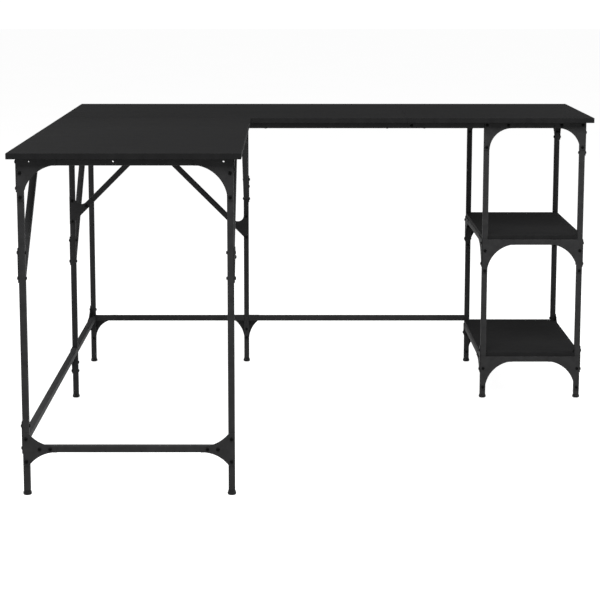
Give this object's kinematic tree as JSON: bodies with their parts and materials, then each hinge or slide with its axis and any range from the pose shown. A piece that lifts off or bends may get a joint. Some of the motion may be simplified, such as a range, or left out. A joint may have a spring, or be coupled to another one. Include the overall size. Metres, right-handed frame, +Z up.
{
  "type": "corner desk",
  "caption": "L-shaped corner desk with a square-tube frame on separate legs, diagonal braces, low stretchers and an open shelf tower under the right end.",
  "frame": {"origin": "on the floor, under the middle of the desk's square footprint", "axes": "+Z up, +X to the sitter's right along the back run, +Y to the back, so the left arm of the L runs towards -Y"},
  "size_m": [1.4, 1.4, 0.755],
  "materials": {
    "frame": "matt black powder coat",
    "board": "matt black laminate on particle board",
    "foot": "moulded black plastic"
  },
  "bodies": {
    "root": {"brace_back_mid_inner": "frame", "brace_back_mid_rear": "frame", "brace_front_left": "frame", "brace_front_right": "frame", "brace_mid_left_cross": "frame", "brace_mid_left_side": "frame", "desktop_corner": "board", "desktop_left_arm": "board", "desktop_right": "board", "foot_back_left": "foot", "foot_back_mid": "foot", "foot_front_left": "foot", "foot_front_right": "foot", "foot_mid_left": "foot", "foot_tower_back_left": "foot", "foot_tower_back_right": "foot", "foot_tower_front_left": "foot", "foot_tower_front_right": "foot", "gusset_back_mid": "frame", "gusset_mid_left": "frame", "leg_back_left": "frame", "leg_back_mid": "frame", "leg_front_left": "frame", "leg_front_right": "frame", "leg_mid_left": "frame", "leg_tower_back_left": "frame", "leg_tower_back_right": "frame", "leg_tower_front_left": "frame", "leg_tower_front_right": "frame", "lower_shelf_rail_back": "frame", "lower_shelf_rail_front": "frame", "lower_shelf_rail_left": "frame", "lower_shelf_rail_right": "frame", "rail_arm_front": "frame", "rail_arm_inner": "frame", "rail_back_left": "frame", "rail_back_right": "frame", "rail_cross": "frame", "rail_left_back": "frame", "rail_left_front": "frame", "rail_right_front": "frame", "rail_seam": "frame", "rail_tower_back": "frame", "rail_tower_front": "frame", "rail_tower_left": "frame", "rail_tower_right": "frame", "shelf_board_lower": "board", "shelf_board_upper": "board", "stretcher_back_left": "frame", "stretcher_back_right": "frame", "stretcher_front": "frame", "stretcher_left_back": "frame", "stretcher_left_front": "frame", "upper_shelf_rail_back": "frame", "upper_shelf_rail_front": "frame", "upper_shelf_rail_left": "frame", "upper_shelf_rail_right": "frame"}
  },
  "joints": []
}
